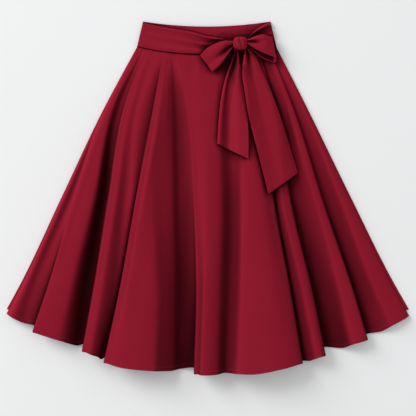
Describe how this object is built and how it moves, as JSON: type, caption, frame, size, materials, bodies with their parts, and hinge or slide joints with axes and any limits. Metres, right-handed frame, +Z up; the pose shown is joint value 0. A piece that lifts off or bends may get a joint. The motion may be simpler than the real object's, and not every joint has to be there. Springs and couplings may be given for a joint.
{
  "type": "pleated midi skirt",
  "caption": "Flared midi skirt laid flat, with soft unpressed pleats, a wide contoured waistband and a sash tied in a side bow.",
  "frame": {"origin": "under the middle of the skirt's outline, on the surface it lies on", "axes": "+X to the wearer's left, across the hem; +Y towards the waist; +Z up out of the surface, through the front of the skirt"},
  "size_m": [0.9637, 0.8421, 0.053],
  "materials": {
    "crepe": "matte crimson crepe suiting with a soft sheen"
  },
  "bodies": {
    "root": {"front_panel": "crepe", "back_panel": "crepe", "waistband_front": "crepe", "waistband_back": "crepe", "sash_left": "crepe", "sash_right": "crepe", "bow_knot": "crepe", "bow_loop_left": "crepe", "bow_loop_right": "crepe", "tail_short": "crepe", "tail_long": "crepe"}
  },
  "joints": []
}
